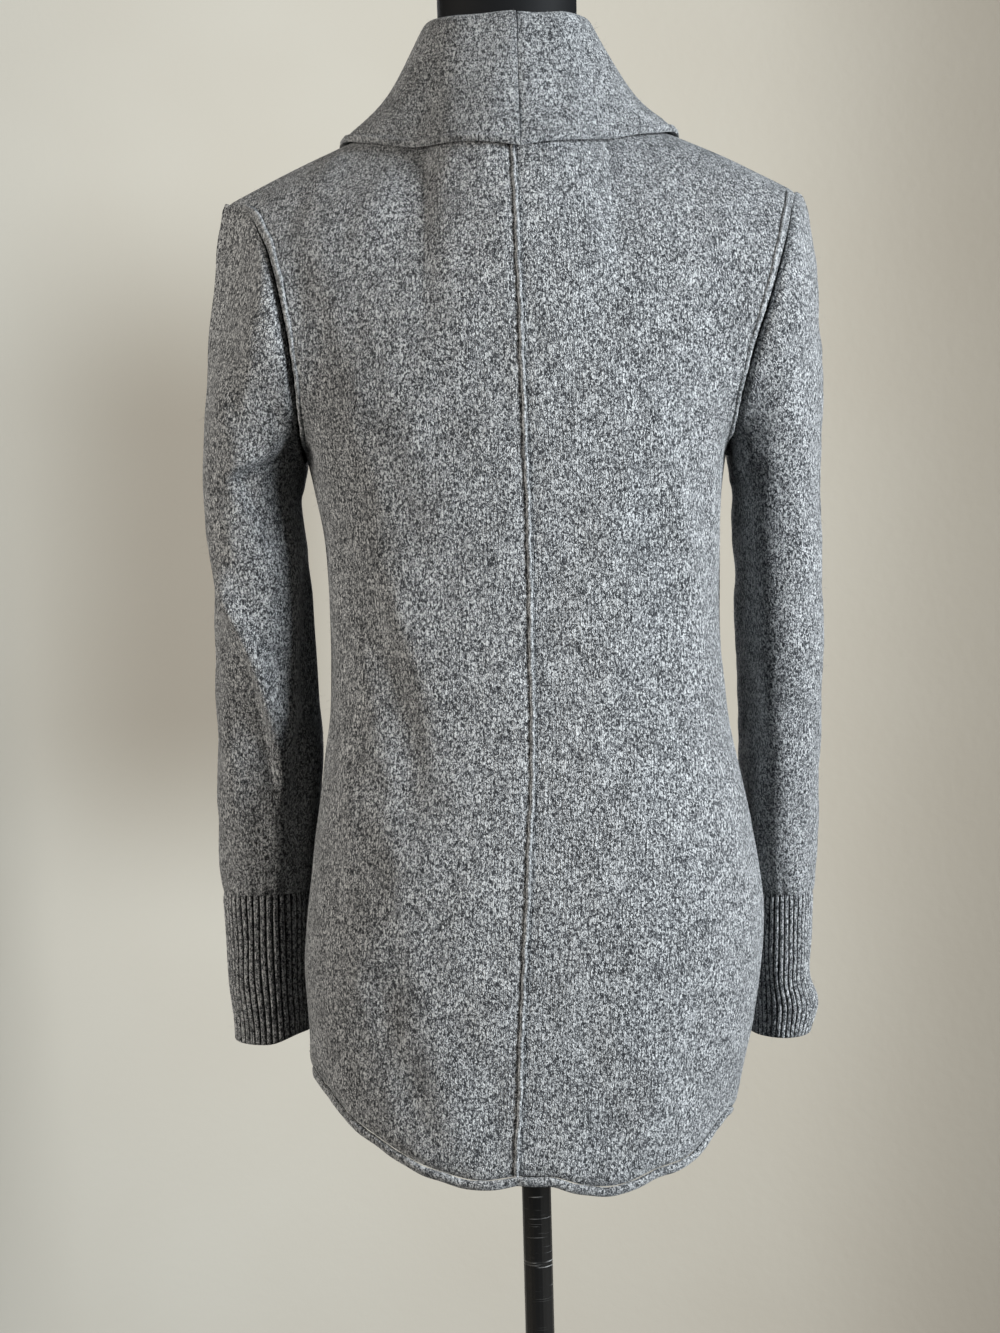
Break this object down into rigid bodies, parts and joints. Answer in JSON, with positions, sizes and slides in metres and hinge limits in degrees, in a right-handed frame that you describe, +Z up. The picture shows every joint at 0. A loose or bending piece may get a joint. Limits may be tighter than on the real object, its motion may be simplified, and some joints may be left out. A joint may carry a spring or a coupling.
{
  "type": "shawl collar cardigan on a dress form stand",
  "caption": "Long grey knit cardigan with a shawl collar, ribbed cuffs and a curved rolled hem, worn open on a limbless dress form on a pole stand.",
  "frame": {"origin": "centre of the stand's underside, on the floor", "axes": "+Z up, the garment's front faces -Y, its wearer's left is +X"},
  "size_m": [0.4367, 0.35, 1.525],
  "materials": {
    "wool": "felted grey melange wool knit, soft nap",
    "rib": "grey melange wool rib",
    "form_cover": "smooth matt black stretch cover",
    "pole_enamel": "gloss black enamel, scratched in rings",
    "base_enamel": "satin black enamel"
  },
  "bodies": {
    "root": {"back_left": "wool", "back_right": "wool", "front_left": "wool", "front_right": "wool", "sleeve_left": "wool", "sleeve_right": "wool", "cuff_left": "rib", "cuff_right": "rib", "collar_left": "wool", "collar_right": "wool", "hem_band_back": "wool", "front_band_left": "wool", "front_band_right": "wool", "seam_ridge_centre_back": "wool", "seam_ridge_armhole_left": "wool", "seam_ridge_armhole_right": "wool", "dress_form": "form_cover", "stand_pole": "pole_enamel", "stand_base": "base_enamel"}
  },
  "joints": []
}
